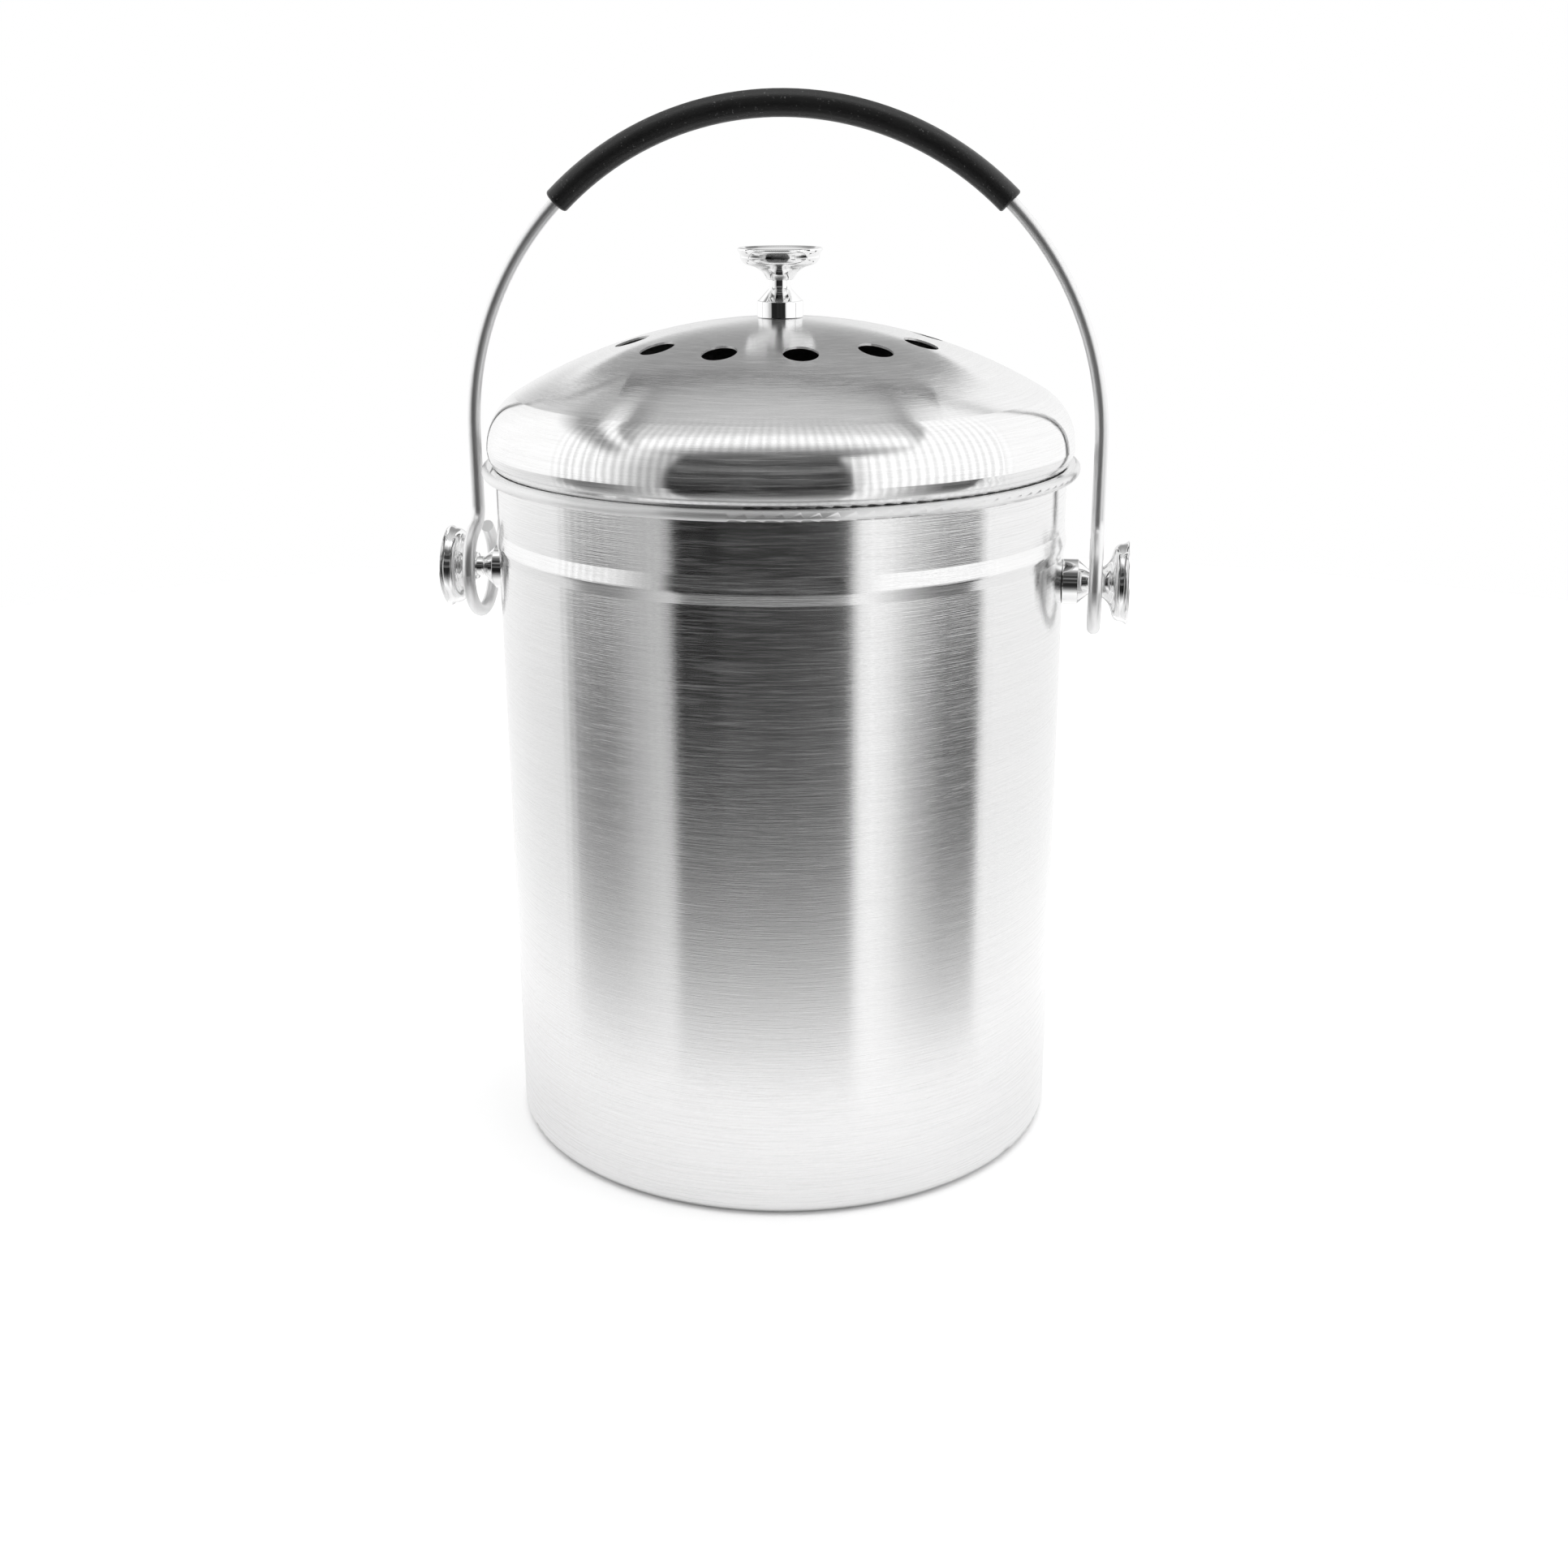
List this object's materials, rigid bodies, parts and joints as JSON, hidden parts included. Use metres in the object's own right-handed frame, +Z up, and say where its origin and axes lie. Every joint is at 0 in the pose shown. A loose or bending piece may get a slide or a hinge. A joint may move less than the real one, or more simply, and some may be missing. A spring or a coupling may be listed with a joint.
{
  "type": "countertop compost bin",
  "caption": "Countertop compost bin: brushed steel pail with a lift-off vented dome lid over a charcoal filter, and a swinging wire bail with a rubber grip.",
  "frame": {"origin": "middle of the base, on the surface that the bin stands on", "axes": "+Z up along the pail's axis; the bail's pivots lie along X; the front faces -Y"},
  "size_m": [0.2142, 0.182, 0.3195],
  "materials": {
    "brushed_steel": "satin stainless steel, finely brushed round the axis",
    "wire_steel": "bright drawn stainless wire",
    "chrome": "polished chrome plating",
    "screw_steel": "plain stainless fasteners",
    "black_rubber": "smooth black rubber with a soft sheen",
    "black_plastic": "fine-textured black moulding",
    "charcoal_felt": "black non-woven felt filled with activated charcoal"
  },
  "bodies": {
    "pail": {"pail_shell": "brushed_steel", "left_pivot_knob": "chrome", "right_pivot_knob": "chrome", "left_pivot_screw": "screw_steel", "right_pivot_screw": "screw_steel", "left_pivot_washer": "screw_steel", "right_pivot_washer": "screw_steel"},
    "bail": {"bail_wire": "wire_steel", "grip_sleeve": "black_rubber"},
    "lid": {"lid_dome": "brushed_steel", "lid_knob": "chrome", "lid_knob_screw": "screw_steel", "lid_knob_washer": "screw_steel"},
    "filter": {"filter_tray": "black_plastic", "charcoal_filter": "charcoal_felt"}
  },
  "joints": [
    {"name": "bail_swing", "type": "hinge", "parent": "pail", "child": "bail", "pos_m": [0, 0, 0.1765], "axis": [1, 0, 0], "range_deg": [-138.5, 138.5]},
    {"name": "lid_lift", "type": "slide", "parent": "pail", "child": "lid", "axis": [0, 0, 1], "range_m": [0, 0.0125]},
    {"name": "filter_drop", "type": "slide", "parent": "lid", "child": "filter", "axis": [0, 0, -1], "range_m": [0, 0.01]}
  ]
}
